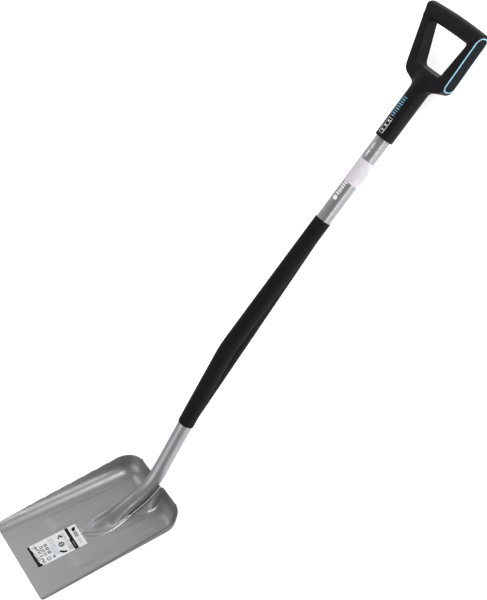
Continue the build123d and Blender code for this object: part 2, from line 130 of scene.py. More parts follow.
RIM_SKIN = SHEET / sin(WALL_TILT)
FRONT_FLOOR = BLADE_WIDTH_FRONT / 2 - RIM_SKIN - wall_reach(RIM_FRONT)
REAR_FLOOR = BLADE_WIDTH_REAR / 2 - RIM_SKIN - wall_reach(RIM_REAR)
FLOOR_BACK = BLADE_LENGTH - RIM_SKIN - wall_reach(RIM_REAR)
RIM_SLOPE = (RIM_REAR - RIM_FRONT) / BLADE_LENGTH

BEND_END = bend_point(LOWER_RISE, BEND_RADIUS)
KINK = BEND_END + rise(LOWER_RISE) * LOWER_RUN
ROOT = KINK + rise(UPPER_RISE) * UPPER_RUN
BEND_LENGTH = BEND_RADIUS * radians(LOWER_RISE)
KINK_ARC = KINK_RADIUS * radians(LOWER_RISE - UPPER_RISE)
KINK_TRIM = KINK_RADIUS * tan(radians(LOWER_RISE - UPPER_RISE) / 2)
HEEL = np.array([0.0, FLOOR_BACK, WALL_FILLET])


def laying():
    """Rotation and shift, in millimetres, from the tool frame to the row frame."""
    line = ROOT - HEEL
    length = hypot(line[1], line[2])
    tilt = atan2(line[2], line[1]) + asin((WALL_FILLET + SHEET - SOCKET_RADIUS) / length)
    turn = np.array([[1, 0, 0], [0, cos(tilt), sin(tilt)], [0, -sin(tilt), cos(tilt)]])
    low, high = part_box("blade_label")
    seen = np.array((low + high) / 2) * 1000
    drawn = np.array([0, LABEL_START + LABEL_LENGTH / 2, CLEARANCE + FILM / 2])
    return turn, seen - turn @ drawn


TURN, SHIFT = laying()


def to_frame(points):
    return (np.asarray(points, float) @ TURN.T + SHIFT) / 1000


# ---- mesh helpers ----

def piece(name, parts, paints_used, nodes=(), smooth=40.0):
    """Object on the root from parts: (points, faces, index in paints_used or one index a face)."""
    points, faces, paints = [], [], []
    count = 0
    for part_points, part_faces, paint in parts:
        points.append(to_frame(part_points))
        faces += [[i + count for i in face] for face in part_faces]
        paints += [paint] * len(part_faces) if isinstance(paint, int) else paint
        count += len(part_points)
    mesh = bpy.data.meshes.new(name)
    mesh.from_pydata(np.concatenate(points).tolist(), [], faces)
    mesh.polygons.foreach_set("material_index", paints)
    add_paints(mesh, paints_used)
    tidy_normals(mesh)
    mesh.shade_smooth()
    mesh.set_sharp_from_angle(angle=radians(smooth))
    obj = linked(name, mesh)
    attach(obj, "root")
    if nodes:
        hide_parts(*nodes)
    return obj


def add_paints(mesh, paints_used):
    for paint in paints_used:
        mesh.materials.append(PAINT[paint])


def linked(name, data):
    obj = bpy.data.objects.new(name, data)
    bpy.context.scene.collection.objects.link(obj)
    return obj


def tidy_normals(mesh):
    """Joins points that meet and turns every face outwards."""
    work = bmesh.new()
    work.from_mesh(mesh)
    bmesh.ops.remove_doubles(work, verts=work.verts, dist=1e-6)
    bmesh.ops.recalc_face_normals(work, faces=work.faces)
    work.to_mesh(mesh)
    work.free()


def grid_faces(rows, columns, closed=False, looped=False):
    """Quads of a grid stored row by row; closed joins its last column to its first, looped its rows."""
    faces = []
    for r in range(rows if looped else rows - 1):
        row, below = r * columns, (r + 1) % rows * columns
        for c in range(columns if closed else columns - 1):
            right = (c + 1) % columns
            faces.append([row + c, row + right, below + right, below + c])
    return faces


def loft(sections):
    """Closed skin through rings of points, with a fan on each end."""
    rings = np.asarray(sections, float)
    rows, columns = rings.shape[:2]
    points = rings.reshape(-1, 3)
    faces = grid_faces(rows, columns, closed=True)
    ends = [rings[0].mean(0), rings[-1].mean(0)]
    first, last = rows * columns, rows * columns + 1
    for c in range(columns):
        right = (c + 1) % columns
        faces.append([right, c, first])
        faces.append([(rows - 1) * columns + c, (rows - 1) * columns + right, last])
    return np.concatenate([points, ends]), faces


def hoop(sections):
    """Closed skin through rings of points whose last ring meets the first."""
    rings = np.asarray(sections, float)
    return rings.reshape(-1, 3), grid_faces(*rings.shape[:2], closed=True, looped=True)


def slab(top, bottom):
    """Closed skin between two grids of the same shape."""
    rows, columns = top.shape[:2]
    count = rows * columns
    points = np.concatenate([top.reshape(-1, 3), bottom.reshape(-1, 3)])
    skin = grid_faces(rows, columns)
    faces = skin + [[i + count for i in reversed(face)] for face in skin]
    grid = np.arange(count).reshape(rows, columns)
    border = np.concatenate([grid[0], grid[1:, -1], grid[-1, -2::-1], grid[-2:0:-1, 0]]).tolist()
    for a, b in zip(border, border[1:] + border[:1]):
        faces.append([b, a, a + count, b + count])
    return points, faces


def prism(outline, place, low, high):
    """Closed skin over a flat outline; place(points, height) maps it into the tool frame."""
    outline = np.asarray(outline, float)
    centre = outline.mean(0, keepdims=True)
    flat = np.concatenate([outline, centre])
    points = np.concatenate([place(flat, high), place(flat, low)])
    n = len(outline)
    faces = []
    for i in range(n):
        j = (i + 1) % n
        faces += [[i, j, n], [j + n + 1, i + n + 1, 2 * n + 1], [j, i, i + n + 1, j + n + 1]]
    return points, faces


def rounded_box(width, height, radius, steps=5):
    """Outline of a rounded rectangle round the origin."""
    corners = []
    for quarter, (x, y) in enumerate(((1, 1), (-1, 1), (-1, -1), (1, -1))):
        centre = np.array([x * (width / 2 - radius), y * (height / 2 - radius)])
        for k in range(steps + 1):
            angle = (quarter + k / steps) * pi / 2
            corners.append(centre + radius * np.array([cos(angle), sin(angle)]))
    return np.array(corners)


def full_turn(count):
    return np.linspace(0, 2 * pi, count, endpoint=False)


def around(angles, right, up):
    """Directions at the angles, from right towards up."""
    return np.cos(angles)[..., None] * right + np.sin(angles)[..., None] * up


def disc(radius, count):
    return radius * around(full_turn(count), *np.eye(2))


def smoothstep(x, low, high):
    t = np.clip((x - low) / (high - low), 0, 1)
    return t * t * (3 - 2 * t)


def soft_min(a, b, k):
    return np.minimum(a, b) - np.maximum(k - np.abs(a - b), 0) ** 2 / (4 * k)


def soft_max(a, b, k):
    return -soft_min(-a, -b, k)


# ---- materials ----

def new_material(name):
    material = bpy.data.materials.new(name)
    material.use_nodes = True
    return material, material.node_tree


def fill(tree, node, inputs):
    """Sets a node's inputs: another node's output is linked, anything else is a plain value."""
    for name, value in inputs.items():
        if isinstance(value, bpy.types.NodeSocket):
            tree.links.new(value, node.inputs[name])
        else:
            node.inputs[name].default_value = value


def added(tree, kind, inputs):
    node = tree.nodes.new("ShaderNode" + kind)
    fill(tree, node, inputs)
    return node


def noise(tree, scale, detail, stretch=(1, 1, 1), roughness=0.5):
    """Noise from object coordinates; scale counts features in a metre."""
    place = added(tree, "TexCoord", {}).outputs["Object"]
    mapping = added(tree, "Mapping", {"Vector": place, "Scale": stretch})
    texture = added(tree, "TexNoise", {"Vector": mapping.outputs["Vector"], "Scale": scale,
                                       "Detail": detail, "Roughness": roughness})
    return texture.outputs["Fac"]


def spread(tree, value, low, high, start=0.3, end=0.7):
    """The value mapped from start..end to low..high."""
    names = ("Value", "From Min", "From Max", "To Min", "To Max")
    return added(tree, "MapRange", dict(zip(names, (value, start, end, low, high)))).outputs["Result"]


def mixed(tree, value, dark, light, start=0.3, end=0.7):
    """Colour that runs from dark to light as the value goes from start to end."""
    node = added(tree, "Mix", {"Factor": spread(tree, value, 0, 1, start, end)})
    node.data_type = "RGBA"
    fill(tree, node, {"A": (*dark, 1), "B": (*light, 1)})
    return node.outputs["Result"]


def dressed(material, inputs, heights=()):
    """The material with its inputs and bumps; heights lists (value, strength, distance in metres)."""
    tree = material.node_tree
    for value, strength, distance in heights:
        bump = {"Height": value, "Strength": strength, "Distance": distance}
        if "Normal" in inputs:
            bump["Normal"] = inputs["Normal"]
        inputs["Normal"] = added(tree, "Bump", bump).outputs["Normal"]
    fill(tree, tree.nodes["Principled BSDF"], inputs)
    return material


def painted_steel(name, colour, metallic, roughness=0.4, stretch=(1, 1, 1)):
    """Silver enamel: fine flake, faint orange peel, and slow changes of tone and gloss."""
    material, tree = new_material(name)
    colour = np.array(colour)
    slow = noise(tree, 9.0, 3.0, stretch)
    flake = noise(tree, 1900.0, 2.0)
    peel = noise(tree, 420.0, 3.0)
    handling = noise(tree, 60.0, 6.0, (1.0, 0.25, 1.0))
    speck = added(tree, "Mix", {"Factor": 1.0})
    speck.data_type, speck.blend_type = "RGBA", "MULTIPLY"
    fill(tree, speck, {"A": mixed(tree, slow, colour * 0.95, colour * 1.05),
                       "B": mixed(tree, flake, (0.9,) * 3, (1.0,) * 3)})
    inputs = {"Base Color": speck.outputs["Result"], "Metallic": metallic,
              "Roughness": spread(tree, handling, roughness - 0.04, roughness + 0.05),
              "Coat Weight": 0.06, "Coat Roughness": 0.3}
    return dressed(material, inputs, [(peel, 0.12, 0.00006), (flake, 0.1, 0.00002)])


def moulded_plastic(name, colour, roughness, grain=1500.0, depth=0.00006, strength=0.3, shine=0.14):
    """Moulded plastic or rubber: spark-eroded grain, with slow changes of gloss."""
    material, tree = new_material(name)
    colour = np.array(colour)
    slow = noise(tree, 25.0, 4.0)
    fine = noise(tree, grain, 3.0, roughness=0.6)
    inputs = {"Base Color": mixed(tree, slow, colour * 0.88, colour * 1.12),
              "Roughness": spread(tree, slow, roughness - 0.05, roughness + 0.05),
              "Specular IOR Level": shine}
    return dressed(material, inputs, [(fine, strength, depth)])


def sleeve_rubber(name):
    """Soft black sleeve: very fine lengthwise ribs under a matt grain."""
    material, tree = new_material(name)
    slow = noise(tree, 14.0, 5.0)
    grain = noise(tree, 1300.0, 3.0, roughness=0.65)
    ribs = noise(tree, 700.0, 2.0, (1.0, 0.03, 1.0))
    inputs = {"Base Color": mixed(tree, slow, (0.0040, 0.0040, 0.0043), (0.0056, 0.0056, 0.0060)),
              "Roughness": spread(tree, slow, 0.56, 0.68), "Specular IOR Level": 0.12}
    return dressed(material, inputs, [(ribs, 0.25, 0.00008), (grain, 0.4, 0.00007)])


def printed_film(name, colour, roughness=0.32, shine=0.5):
    """Printed film: slight mottle, waviness and a thin gloss coat."""
    material, tree = new_material(name)
    colour = np.array(colour)
    mottle = noise(tree, 260.0, 5.0)
    wave = noise(tree, 70.0, 2.0)
    inputs = {"Base Color": mixed(tree, mottle, colour * 0.93, colour * 1.03),
              "Roughness": spread(tree, wave, roughness - 0.05, roughness + 0.08),
              "Specular IOR Level": shine, "Coat Weight": shine / 3, "Coat Roughness": 0.15}
    return dressed(material, inputs, [(wave, 0.25, 0.0002)])


def bright_steel(name):
    """Zinc-plated screw: turned rings and small stains."""
    material, tree = new_material(name)
    rings = noise(tree, 2600.0, 2.0, (1.0, 0.2, 0.2))
    stain = noise(tree, 500.0, 5.0)
    inputs = {"Base Color": mixed(tree, stain, (0.42, 0.42, 0.40), (0.62, 0.62, 0.61)),
              "Roughness": spread(tree, stain, 0.24, 0.42), "Metallic": 1.0}
    return dressed(material, inputs, [(rings, 0.25, 0.00003)])


PAINT = {
    "blade": painted_steel("blade_enamel", (0.335, 0.336, 0.336), 0.72, stretch=(1.0, 0.4, 0.4)),
    # The blade's outside and rim take a far darker copy of the silver enamel: painted shade, not a paint
    # of their own.
    "outside": painted_steel("blade_outside_painted_shade", (0.085, 0.086, 0.087), 0.3, 0.5),
    "tube": painted_steel("tube_enamel", (0.345, 0.346, 0.358), 0.8, 0.38),
    "weld": painted_steel("weld_enamel", (0.40, 0.402, 0.402), 0.5, 0.32),
    "sleeve": sleeve_rubber("sleeve_rubber"),
    "grip": moulded_plastic("grip_plastic", (0.0056, 0.0044, 0.005), 0.5),
    "trim": moulded_plastic("trim_plastic", (0.28, 0.58, 0.74), 0.45, strength=0.15, shine=0.4),
    "panel": moulded_plastic("soft_panel", (0.0048, 0.0056, 0.0075), 0.66, grain=900.0, depth=0.00012,
                             strength=0.5),
    "screw": bright_steel("zinc_screw"),
    "white": printed_film("label_white", (0.68, 0.69, 0.70)),
    "black": printed_film("label_black", (0.006, 0.007, 0.008), 0.4, 0.1),
    "grey": printed_film("label_grey", (0.15, 0.16, 0.175), 0.4, 0.2),
    "pale_blue": printed_film("label_pale_blue", (0.30, 0.41, 0.50), 0.4),
    "tube_film": printed_film("tube_label_film", (0.62, 0.585, 0.62), 0.5, 0.2),
    "mark_white": printed_film("mark_white", (0.85, 0.85, 0.87), 0.4),
    "mark_blue": printed_film("mark_blue", (0.12, 0.38, 0.53), 0.4),
}


# ---- blade ----

# The inside's enamel, then the darker copy that paints shade on the outside and rim.
BLADE_PAINTS = ("blade", "outside")


def floor_half(y):
    """Half width of the blade's flat floor."""
    return FRONT_FLOOR + (REAR_FLOOR - FRONT_FLOOR) * np.clip(y, 0, BLADE_LENGTH) / FLOOR_BACK


def wall_steps():
    """Distances outside the floor's edge: even turns of the fillet, then the straight wall."""
    turns = np.radians(np.linspace(0, WALL_ANGLE, 16)[1:])
    curved = WALL_FILLET * np.sin(turns)
    straight = curved[-1] + np.arange(1, 12) * 0.65
    return np.concatenate([curved, straight])


def panel_step(x, y):
    """Height share of the two side panels, with sloping edges."""
    along = (y - PANEL_FRONT) / (PANEL_REAR - PANEL_FRONT)
    inner, outer = (front + (rear - front) * along for front, rear in (PANEL_INNER, PANEL_OUTER))
    side = soft_min(np.abs(x) - inner, outer - np.abs(x), 3.0)
    end = soft_min((y - PANEL_FRONT) * PANEL_FADE, PANEL_REAR - y, 3.0)
    return smoothstep(soft_min(side, end, 6.0), -PANEL_EDGE / 2, PANEL_EDGE / 2)


# Half widths of the pad and of the saddle's foot, as (y, half width) stations.
PAD_LINE = ((135.2, 0.0), (140.0, 11.0), (150.0, 19.0), (160.0, 24.0), (170.0, 26.5), (185.0, 27.3),
            (200.0, 25.5), (215.0, 22.0), (232.0, 16.5), (250.0, 14.0))
SADDLE_FOOT = ((240.0, 17.2), (252.0, 19.0), (262.0, 24.0), (270.0, 27.4), (281.0, 27.2), (289.0, 25.6),
               (297.0, 23.4), (305.0, 20.0), (312.0, 17.8), (330.0, 17.2))


def along_line(y, line):
    """Value at y of a smoothed line given by (y, value) stations."""
    stations = np.array(line)
    fine = np.linspace(stations[0, 0], stations[-1, 0], 400)
    coarse = np.interp(fine, stations[:, 0], stations[:, 1])
    smooth = np.convolve(np.pad(coarse, 10, mode="edge"), np.ones(21) / 21, mode="valid")
    rounded = np.where(fine < stations[1, 0], coarse, smooth)
    return np.interp(y, fine, rounded)


def pad_step(x, y):
    """Height share of the leaf-shaped pad."""
    inside = (along_line(y, PAD_LINE) - np.abs(x)) * 0.9
    return smoothstep(np.minimum(inside, (y - PAD_TIP) * 0.6), -PAD_EDGE / 2, PAD_EDGE / 2)


def saddle_top(y):
    """Height of the saddle under the shaft."""
    radius = BEND_RADIUS + TUBE_RADIUS + CLEARANCE
    return BEND_CENTRE[1] - np.sqrt(radius ** 2 - np.clip(y - BEND_CENTRE[0], 0, 130) ** 2)


def blade_height(x, y):
    """Height of the blade's inside surface."""
    across = np.abs(x) - (floor_half(y) - FLOOR_CORNER)
    along = y - (FLOOR_BACK - FLOOR_CORNER)
    corner = np.hypot(np.maximum(across, 0), np.maximum(along, 0))
    height = wall_height(np.maximum(corner - FLOOR_CORNER, 0))
    height += PANEL_RISE * panel_step(x, y)
    height += PRESS_DEPTH * pad_step(x, y) * (1 - smoothstep(y, PAD_REAR - 2, PAD_REAR + 8))
    crease = smoothstep(np.abs(x), *CREASE_INNER) * (1 - smoothstep(np.abs(x), *CREASE_OUTER))
    height += CREASE_RISE * crease * np.exp(-((y - CREASE_AT) / 2.0) ** 2)
    flank = SADDLE_HALF_WIDTH - 0.8
    base = wall_height(np.maximum(y - FLOOR_BACK, 0))
    spread_out = np.maximum(np.abs(x) - flank, 0) / (along_line(y, SADDLE_FOOT) - flank)
    side = saddle_top(y) - (saddle_top(y) - base) * spread_out
    ramp = soft_min(saddle_top(y), side + 0.5, 2.0)
    blend = 0.4 + 4.5 * smoothstep(y, 243, 266)
    return np.minimum(soft_max(height, ramp, blend), SADDLE_LIMIT)


def make_blade():
    """Half a grid of the inside surface, mirrored, then cut at the rim and given its thickness."""
    middle = np.concatenate([np.arange(0, 13, 2.6), np.arange(13.0, 28.1, 0.75)])
    shares, beyond = np.linspace(0, 1, 25)[1:], wall_steps()
    rows = np.concatenate([np.linspace(0, FLOOR_BACK, 182), FLOOR_BACK + beyond])
    plan = []
    for y in rows:
        edge = floor_half(y)
        x = np.concatenate([middle, middle[-1] + shares * (edge - middle[-1]), edge + beyond])
        round_off = np.clip(x - (BLADE_WIDTH_FRONT / 2 - FRONT_CORNER), 0, FRONT_CORNER)
        nose = FRONT_CORNER - np.sqrt(FRONT_CORNER ** 2 - round_off ** 2)
        plan.append(np.stack([x, y + nose * max(0.0, 1 - y / CORNER_FADE)], axis=1))
    plan = np.array(plan)
    plan = np.concatenate([plan[:, :0:-1] * (-1, 1), plan], axis=1)
    height = blade_height(plan[..., 0], plan[..., 1])
    points = np.dstack([plan, height]).reshape(-1, 3)
    mesh = bpy.data.meshes.new("blade_sheet")
    mesh.from_pydata(points.tolist(), [], grid_faces(len(rows), plan.shape[1]))
    return cut_and_thicken(mesh)


def cut_and_thicken(mesh):
    """Trims the sheet at the slanting rim, gives it the steel's thickness and eases its edges."""
    work = bmesh.new()
    work.from_mesh(mesh)
    bmesh.ops.bisect_plane(work, geom=[*work.verts, *work.edges, *work.faces], dist=1e-4,
                           plane_co=(0, 0, RIM_FRONT), clear_outer=True,
                           plane_no=Vector((0, -RIM_SLOPE, 1)).normalized())
    bmesh.ops.remove_doubles(work, verts=work.verts, dist=0.05)
    bmesh.ops.recalc_face_normals(work, faces=work.faces)
    if sum(face.normal.z for face in work.faces) < 0:
        bmesh.ops.reverse_faces(work, faces=work.faces)
    work.to_mesh(mesh)
    work.free()
    add_paints(mesh, BLADE_PAINTS)
    obj = linked("blade_sheet", mesh)
    solid = obj.modifiers.new("sheet", "SOLIDIFY")
    solid.thickness = SHEET
    solid.offset = -1.0
    solid.use_even_offset = True
    solid.thickness_clamp = 1.0
    # The outside and rim take the second paint, the darker copy of the enamel that paints in their
    # shade.
    solid.material_offset = solid.material_offset_rim = 1
    eased = obj.modifiers.new("edges", "BEVEL")
    eased.width = 0.35
    eased.segments = 2
    eased.limit_method = "ANGLE"
    eased.angle_limit = radians(55)
    graph = bpy.context.evaluated_depsgraph_get()
    graph.update()
    final = bpy.data.meshes.new_from_object(obj.evaluated_get(graph))
    bpy.data.objects.remove(obj)
    faces = [list(p.vertices) for p in final.polygons]
    return np.array([v.co for v in final.vertices]), faces, [p.material_index for p in final.polygons]


# ---- shaft ----

def upper_station(distance):
    """Distance along the centreline of a point that far above the crank."""
    return BEND_LENGTH + LOWER_RUN - 2 * KINK_TRIM + KINK_ARC + distance


def centreline(station):
    """(point, slope in degrees) on the shaft, from the bottom of the bend."""
    if station < BEND_LENGTH:
        slope = degrees(station / BEND_RADIUS)
        return bend_point(slope, BEND_RADIUS), slope
    past, straight = station - BEND_LENGTH, LOWER_RUN - KINK_TRIM
    if past < straight:
        return BEND_END + rise(LOWER_RISE) * past, LOWER_RISE
    past -= straight
    turn = degrees(past / KINK_RADIUS)
    if turn < LOWER_RISE - UPPER_RISE:
        centre = BEND_END + rise(LOWER_RISE) * straight - front_of(LOWER_RISE) * KINK_RADIUS
        return centre + front_of(LOWER_RISE - turn) * KINK_RADIUS, LOWER_RISE - turn
    past -= KINK_ARC
    return KINK + rise(UPPER_RISE) * (KINK_TRIM + past), UPPER_RISE


def ring_at(station, radius):
    point, slope = centreline(station)
    return point + radius * around(full_turn(RING), X_DIR, front_of(slope))


# Half widths of the spear and of its welding flange, and heights of the spear's crest.
SPEAR_LINE = ((143.0, 1.6), (150.0, 5.6), (158.0, 10.0), (165.0, 13.0), (175.0, 16.8), (185.0, 18.9),
              (195.0, 19.4), (205.0, 18.8), (215.0, 17.6), (225.0, 16.3), (235.0, 15.4), (242.0, 15.0))
FLANGE_LINE = ((138.5, 0.0), (141.0, 3.0), (146.0, 6.0), (152.0, 8.8), (158.0, 11.6), (165.0, 14.4),
               (175.0, 18.0), (185.0, 20.0), (195.0, 20.5), (205.0, 19.9), (216.0, 18.5), (228.0, 16.8),
               (250.0, 15.2))
CREST_LINE = ((143.0, 2.5), (157.0, 2.9), (165.0, 4.9), (175.0, 7.7), (189.0, 11.9), (203.0, 16.5),
              (217.0, 21.3), (229.0, 25.8), (241.0, 30.9), (246.0, 33.0))


def spear_ring(y):
    """Section of the spear at y: a full round at the rear, a crested leaf towards the tip."""
    share = np.clip((y - RIDGE_TIP) / (SPEAR_START - RIDGE_TIP), 0, 1)
    top, half = along_line(y, CREST_LINE), along_line(y, SPEAR_LINE)
    middle = 1.7 + (top - TUBE_RADIUS - 1.7) * smoothstep(share, 0.3, 1.0)
    crest = 1.1 + 0.9 * smoothstep(share, 0.5, 1.0)
    c, s = np.cos(full_turn(RING)), np.sin(full_turn(RING))
    wide = np.sign(c) * np.abs(c) ** (2 / crest)
    upper = middle + (top - middle) * np.abs(s) ** (2 / crest)
    round_under = smoothstep(share, 0.75, 1.0)
    under_x = np.sign(c) * (1 - round_under * (1 - np.abs(c)))
    x = half * np.where(s >= 0, wide, under_x)
    z = np.where(s >= 0, upper, middle - TUBE_RADIUS * np.abs(s))
    return np.stack([x, np.full(RING, y), np.maximum(z, UNDERSIDE)], axis=1)


def make_shaft():
    """Spear and tube in one skin; the tube is kept out of the sheet where it lies on the pad."""
    tip = RIDGE_TIP + np.array([0, 1.0, 2.5, 5, 8, 11])
    spear = [spear_ring(y) for y in np.concatenate([tip, np.linspace(158, SPEAR_START + 1.0, 32)])]
    start = BEND_RADIUS * asin((SPEAR_START + 9.0 - BEND_CENTRE[0]) / BEND_RADIUS)
    kink = np.linspace(BEND_LENGTH + LOWER_RUN - KINK_TRIM, upper_station(KINK_TRIM), 14)
    stations = [*np.linspace(start, BEND_LENGTH, 26), BEND_LENGTH + 60, BEND_LENGTH + 150, *kink,
                *[upper_station(distance) for distance in (150, 330, 500, TUBE_END)]]
    tube = np.array([ring_at(station, TUBE_RADIUS) for station in stations])
    sunk = (tube[..., 1] < TUBE_LIFTS_OFF) & (tube[..., 2] < UNDERSIDE)
    tube[sunk, 2] = UNDERSIDE
    return loft([*spear, *tube])


def make_flange():
    """Flat flange of the spear, with a rolled edge."""
    reach = np.array([1.0, 1.0, 0.985, 0.95, 0.9, 0.5, 0.0])
    lift = np.array([0.0, 0.7, 1.25, 1.55, 1.6, 1.6, 1.6])
    reach, lift = np.concatenate([-reach, reach[-2::-1]]), np.concatenate([lift, lift[-2::-1]])
    rows = np.concatenate([SPEAR_TIP + np.array([0.05, 0.3, 0.9, 2.0, 4.0]),
                           np.linspace(SPEAR_TIP + 7, SPEAR_START + 8, 40)])[:, None]
    half = np.maximum(along_line(rows, FLANGE_LINE), 0.15)
    height = PRESS_DEPTH + lift * np.minimum(1.0, half / 2)
    top = np.stack(np.broadcast_arrays(half * reach, rows, height), axis=-1)
    bottom = top.copy()
    bottom[..., 2] = 0.4
    return slab(top, bottom)


# ---- welds ----

def smooth_line(points, count):
    """Catmull-Rom line through the points, at even steps."""
    padded = np.concatenate([2 * points[:1] - points[1:2], points, 2 * points[-1:] - points[-2:-1]])
    line = []
    for i in range(len(points) - 1):
        a, b, c, d = padded[i:i + 4]
        for t in np.linspace(0, 1, 24, endpoint=False):
            line.append(0.5 * (2 * b + (c - a) * t + (2 * a - 5 * b + 4 * c - d) * t ** 2
                               + (3 * b - a - 3 * c + d) * t ** 3))
    line.append(points[-1])
    line = np.array(line)
    lengths = np.concatenate([[0], np.cumsum(np.linalg.norm(np.diff(line, axis=0), axis=1))])
    wanted = np.linspace(0, lengths[-1], count)
    return np.stack([np.interp(wanted, lengths, line[:, k]) for k in range(3)], axis=1)


def bead(points, radius):
    """Weld bead with the crescents of its passes."""
    pitch, ripple = 2.1, 0.16
    total = np.linalg.norm(np.diff(points, axis=0), axis=1).sum()
    line = smooth_line(points, int(total / 0.45))
    tangents = np.gradient(line, axis=0)
    tangents /= np.linalg.norm(tangents, axis=1, keepdims=True)
    rings = []
    for k, (point, tangent) in enumerate(zip(line, tangents)):
        side = np.cross(tangent, [0, 0, 1])
        side /= np.linalg.norm(side)
        up = np.cross(side, tangent)
        travelled = k * total / len(line)
        phase = (travelled / pitch) % 1.0
        end = min(travelled, total - travelled)
        swell = radius * (1 + ripple * (1 - phase) ** 2 - ripple / 2) * min(1.0, 0.35 + end / 3)
        rings.append(point + swell * around(full_turn(16), side, up))
    return (*loft(rings), 0)


def make_weld(side):
    """Beads round the flange and, further up, between the tube and the saddle."""
    low = [(side * (along_line(y, FLANGE_LINE) + 0.5), y, PRESS_DEPTH + 0.35)
           for y in np.linspace(SPEAR_TIP + 3, SPEAR_START + 2, 16)]
    high = [bend_point(slope, BEND_RADIUS + TUBE_RADIUS - 3.4) + side * X_DIR * 14.6
            for slope in np.linspace(14.0, 43.0, 12)]
    return [bead(np.array(low), LOW_BEAD), bead(np.array(high), HIGH_BEAD)]


# ---- sleeve ----

def make_sleeve():
    """Soft sleeve over the crank, its two lips rounded and turned in."""
    low, high = BEND_LENGTH + SLEEVE_LOW, upper_station(SLEEVE_HIGH)
    inner = TUBE_RADIUS + CLEARANCE
    thick = SLEEVE_RADIUS - inner
    turns = np.radians([0, 20, 40, 60, 80, 90])
    lip = [(thick * 0.8 * (1 - cos(t)), inner + thick * (0.15 + 0.85 * sin(t))) for t in turns]
    rings = [(low + 6.0, inner), (low + 0.3, inner)] + [(low + s, r) for s, r in lip]
    rings += [(s, SLEEVE_RADIUS) for s in np.linspace(low + 6, high - 6, 110)]
    rings += [(high - s, r) for s, r in lip[::-1]] + [(high - 0.3, inner), (high - 6.0, inner)]
    return hoop([ring_at(s, r) for s, r in rings])


# ---- grip ----

GRIP_AXES = np.stack([X_DIR, rise(GRIP_RISE), front_of(GRIP_RISE)])     # across, along, to the front
LOOP_CORNERS = ((65.8, 113.5), (46.0, 2.0), (44.0, -2.3), (40.1, -4.9), (0.0, -18.8))
LOOP_ROUND, LOOP_EDGE, OPENING_ROUND = 9.0, 5.0, 10.0
OPENING_BLEND, BAR_BLEND, SOCKET_BLEND, SOCKET_LIP = 4.5, 7.0, 9.0, 2.0


def grip_point(points):
    """Points of the grip's own frame, which starts at the grip's root, in the tool frame."""
    return ROOT + np.asarray(points, float) @ GRIP_AXES


def mirrored_outline(corners):
    return np.array([*corners, *[(-x, y) for x, y in corners[::-1] if x]])


def polygon_distance(x, y, corners):
    """Signed distance to a polygon, negative inside."""
    nearest = np.full(x.shape, 1e9)
    inside = np.zeros(x.shape, bool)
    for (ax, ay), (bx, by) in zip(corners, np.roll(corners, -1, axis=0)):
        ex, ey = bx - ax, by - ay
        t = np.clip(((x - ax) * ex + (y - ay) * ey) / (ex * ex + ey * ey), 0, 1)
        nearest = np.minimum(nearest, np.hypot(x - ax - t * ex, y - ay - t * ey))
        inside ^= ((ay > y) != (by > y)) & (x < (bx - ax) * (y - ay) / (by - ay + 1e-12) + ax)
    return np.where(inside, -nearest, nearest)


def grip_field(points):
    """Signed distance to the grip, in its own frame."""
    x, d, n = points[:, 0], points[:, 1], points[:, 2]
    outline = polygon_distance(x, d, mirrored_outline(LOOP_CORNERS)) - LOOP_ROUND
    flat = np.stack([outline + LOOP_EDGE, np.abs(n) - (GRIP_THICKNESS / 2 - LOOP_EDGE)])
    loop = np.linalg.norm(np.maximum(flat, 0), axis=0) + np.minimum(flat.max(0), 0) - LOOP_EDGE
    top, shrink = BAR_HEIGHT + 2 * BAR_RADIUS, OPENING_ROUND
    gap = [(OPENING_HALF_TOP - 4 - shrink, top), (OPENING_HALF_TOP - shrink, BAR_HEIGHT - BAR_RADIUS),
           (OPENING_HALF_ROOT - 8.0, OPENING_LOW + shrink)]
    opening = polygon_distance(x, d, mirrored_outline(gap)) - shrink
    loop = soft_max(loop, -opening, OPENING_BLEND)
    above = d + BAR_BOW * (x / LOOP_HALF_TOP) ** 2 - BAR_HEIGHT
    loop = np.maximum(loop, np.hypot(np.maximum(above, 0), n) - BAR_RADIUS)
    bar = np.maximum(np.hypot(above, n) - BAR_RADIUS, np.abs(x) - (LOOP_HALF_TOP - 10.0))
    blend = 0.05 + BAR_BLEND * (1 - smoothstep(d, BAR_HEIGHT - 14, BAR_HEIGHT - 4))
    body = soft_min(loop, bar, blend)
    lean = radians(UPPER_RISE - GRIP_RISE)
    along = d * cos(lean) + n * sin(lean)
    radial = np.hypot(x, -d * sin(lean) + n * cos(lean))
    socket_ends = np.maximum(-SOCKET_LENGTH - along, along + 4.0)
    socket = soft_max(radial - SOCKET_RADIUS, socket_ends, SOCKET_LIP)
    bore = np.maximum(radial - TUBE_RADIUS - CLEARANCE, along + 20.0)
    body = np.maximum(soft_min(body, socket, SOCKET_BLEND), -bore)
    ground = grip_point(points) @ TURN[2] + SHIFT[2]
    return np.maximum(body, 0.05 - ground)


def gradient(points):
    """Unit vectors along which grip_field grows."""
    step = 0.05
    slopes = [grip_field(points + axis * step) - grip_field(points - axis * step) for axis in np.eye(3)]
    slopes = np.stack(slopes, axis=1) / (2 * step)
    return slopes / np.maximum(np.linalg.norm(slopes, axis=1, keepdims=True), 1e-6)


